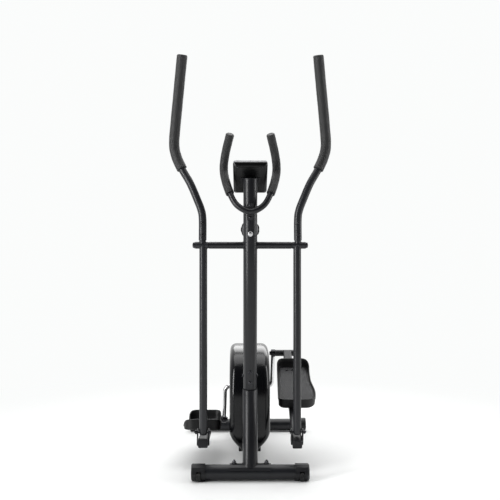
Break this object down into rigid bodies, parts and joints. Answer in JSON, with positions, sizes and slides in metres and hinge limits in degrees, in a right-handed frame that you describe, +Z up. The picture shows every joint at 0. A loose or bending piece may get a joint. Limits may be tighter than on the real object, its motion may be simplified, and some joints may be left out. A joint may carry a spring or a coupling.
{
  "type": "elliptical trainer",
  "caption": "Upright cross trainer with swinging foam-gripped arms, linked foot trays on a rear crank, a belt-driven magnetic flywheel in a rounded housing and a tilted console on a post.",
  "frame": {"origin": "on the floor, under the middle of the machine's bounding box", "axes": "+Z up, -Y towards the console end (the machine's front, the way the user faces), +X to the user's left as they face -Y, along the stabilisers"},
  "size_m": [0.599, 0.8933, 1.547],
  "materials": {
    "black_paint": "satin powder coat",
    "grip_foam": "soft closed-cell foam",
    "black_plastic": "fine grained",
    "gloss_plastic": "polished",
    "grey_plastic": "satin",
    "tread_plastic": "ribbed, dull",
    "bright_steel": "bright plated",
    "dark_steel": "black oxide",
    "cast_iron": "turned rim, as cast web",
    "rubber": "matt",
    "clear_plastic": "clear tinted",
    "circuit_board": "solder mask"
  },
  "bodies": {
    "base": {"main_frame": "black_paint", "front_stabiliser": "black_paint", "rear_stabiliser": "black_paint", "front_cap_left": "black_plastic", "front_cap_right": "black_plastic", "rear_cap_left": "black_plastic", "rear_cap_right": "black_plastic", "front_stud_plate": "dark_steel", "rear_stud_plate": "dark_steel", "upper_post": "black_paint", "post_bolt_upper": "dark_steel", "post_bolt_lower": "dark_steel", "handlebar": "black_paint", "handlebar_grip_left": "grip_foam", "handlebar_grip_right": "grip_foam", "console_back": "black_plastic", "console_front": "grey_plastic", "console_lens": "clear_plastic", "battery_door": "black_plastic", "console_board": "circuit_board", "pivot_axle": "bright_steel", "pivot_nut_left": "bright_steel", "pivot_nut_right": "bright_steel", "knob_base": "grey_plastic", "knob_screw": "bright_steel", "housing_left": "gloss_plastic", "housing_right": "gloss_plastic", "flywheel_axle": "dark_steel", "drive_belt": "rubber", "tension_cable": "rubber", "crank_bearing": "dark_steel"},
    "crankset": {"crank": "bright_steel", "drive_pulley": "black_plastic", "crank_nut_left": "bright_steel", "crank_nut_right": "bright_steel"},
    "flywheel_set": {"flywheel": "cast_iron", "flywheel_pulley": "dark_steel"},
    "idler": {"idler_arm": "dark_steel"},
    "idler_roller": {"idler_wheel": "grey_plastic"},
    "brake": {"brake_bracket": "dark_steel", "brake_magnet": "bright_steel"},
    "knob": {"tension_knob": "black_plastic"},
    "button": {"mode_button": "rubber"},
    "roller_left": {"transport_wheel_left": "black_plastic"},
    "roller_right": {"transport_wheel_right": "black_plastic"},
    "arm_left": {"lower_arm_left": "black_paint", "upper_handle_left": "black_paint", "handle_grip_left": "grip_foam"},
    "foot_left": {"pedal_tube_left": "black_paint", "pedal_left": "tread_plastic", "joint_bolt_left": "dark_steel", "crank_pin_left": "bright_steel"},
    "arm_right": {"lower_arm_right": "black_paint", "upper_handle_right": "black_paint", "handle_grip_right": "grip_foam"},
    "foot_right": {"pedal_tube_right": "black_paint", "pedal_right": "tread_plastic", "joint_bolt_right": "dark_steel", "crank_pin_right": "bright_steel"}
  },
  "joints": [
    {"name": "crank_turn", "type": "hinge", "parent": "base", "child": "crankset", "pos_m": [0, 0.21515, 0.2445], "axis": [1, 0, 0], "continuous": true},
    {"name": "flywheel_spin", "type": "hinge", "parent": "base", "child": "flywheel_set", "pos_m": [0, -0.08485, 0.262], "axis": [1, 0, 0], "continuous": true},
    {"name": "idler_swing", "type": "hinge", "parent": "base", "child": "idler", "pos_m": [0, -0.00485, 0.14], "axis": [1, 0, 0], "range_deg": [-8, 0], "stiffness_Nm_per_rad": 1, "springref_deg": 14.32},
    {"name": "idler_spin", "type": "hinge", "parent": "idler", "child": "idler_roller", "pos_m": [0, 0.03363, 0.17184], "axis": [1, 0, 0], "continuous": true},
    {"name": "brake_tilt", "type": "hinge", "parent": "base", "child": "brake", "pos_m": [0, -0.20607, 0.21788], "axis": [1, 0, 0], "range_deg": [-1.25, 0]},
    {"name": "knob_turn", "type": "hinge", "parent": "base", "child": "knob", "pos_m": [0, -0.38792, 0.9085], "axis": [0, 0.9913, 0.1318], "range_deg": [-270, 0]},
    {"name": "button_press", "type": "slide", "parent": "base", "child": "button", "axis": [0, -0.8192, -0.5736], "range_m": [0, 0.0008], "stiffness_N_per_m": 400, "springref_m": -0.002},
    {"name": "roller_spin_left", "type": "hinge", "parent": "base", "child": "roller_left", "pos_m": [0, -0.40285, 0.0185], "axis": [1, 0, 0], "continuous": true},
    {"name": "roller_spin_right", "type": "hinge", "parent": "base", "child": "roller_right", "pos_m": [0, -0.40285, 0.0185], "axis": [1, 0, 0], "continuous": true},
    {"name": "swing_left", "type": "hinge", "parent": "base", "child": "arm_left", "pos_m": [0, -0.38185, 0.8555], "axis": [1, 0, 0], "range_deg": [-12.5, 12.5]},
    {"name": "swing_right", "type": "hinge", "parent": "base", "child": "arm_right", "pos_m": [0, -0.38185, 0.8555], "axis": [1, 0, 0], "range_deg": [-12.5, 12.5]},
    {"name": "pedal_level_left", "type": "hinge", "parent": "arm_left", "child": "foot_left", "pos_m": [0, -0.38281, 0.1755], "axis": [1, 0, 0], "range_deg": [-12.5, 12.5]},
    {"name": "pedal_level_right", "type": "hinge", "parent": "arm_right", "child": "foot_right", "pos_m": [0, -0.38323, 0.1755], "axis": [1, 0, 0], "range_deg": [-12.5, 12.5]}
  ],
  "couplings": [
    {"joint": "flywheel_spin", "follows": "crank_turn", "ratio": 6.1111},
    {"joint": "idler_spin", "follows": "crank_turn", "ratio": -5.5},
    {"joint": "swing_right", "follows": "swing_left", "ratio": -1},
    {"joint": "pedal_level_left", "follows": "swing_left", "ratio": -1},
    {"joint": "pedal_level_right", "follows": "swing_left", "ratio": 1},
    {"joint": "brake_tilt", "follows": "knob_turn", "ratio": 0.0044}
  ]
}
